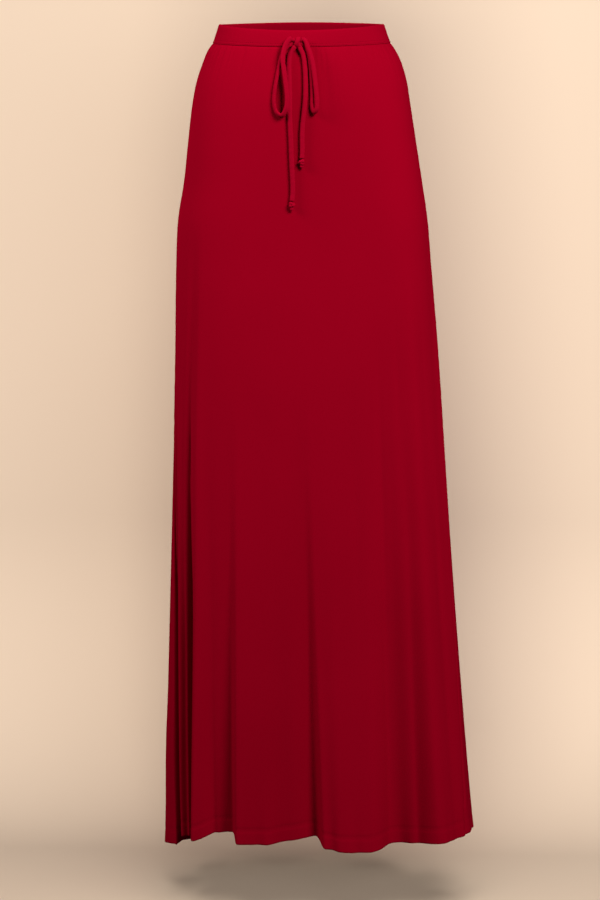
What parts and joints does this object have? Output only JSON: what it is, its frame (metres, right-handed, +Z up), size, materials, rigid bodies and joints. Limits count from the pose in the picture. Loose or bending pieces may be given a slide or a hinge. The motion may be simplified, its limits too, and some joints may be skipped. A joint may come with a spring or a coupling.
{
  "type": "maxi skirt",
  "caption": "Long A-line pull-on skirt of soft jersey, worn and open at waist and hem, with an elastic waistband casing, a tied front drawstring and hanging folds.",
  "frame": {"origin": "middle of the waist opening, level with the top of the waistband at the sides", "axes": "+Z up along the skirt towards the waist, -Y out of the front, +X towards the wearer's left side"},
  "size_m": [0.4198, 0.2854, 1.1128],
  "materials": {
    "jersey": "matte fine-rib jersey",
    "casing": "matte jersey over elastic",
    "tie": "matte turned jersey tube"
  },
  "bodies": {
    "root": {"waistband": "casing", "front_panel": "jersey", "back_panel": "jersey", "bow_knot": "tie", "bow_loop_left": "tie", "bow_loop_right": "tie", "tail_long": "tie", "tail_short": "tie", "tail_knot_long": "tie", "tail_knot_short": "tie"}
  },
  "joints": []
}
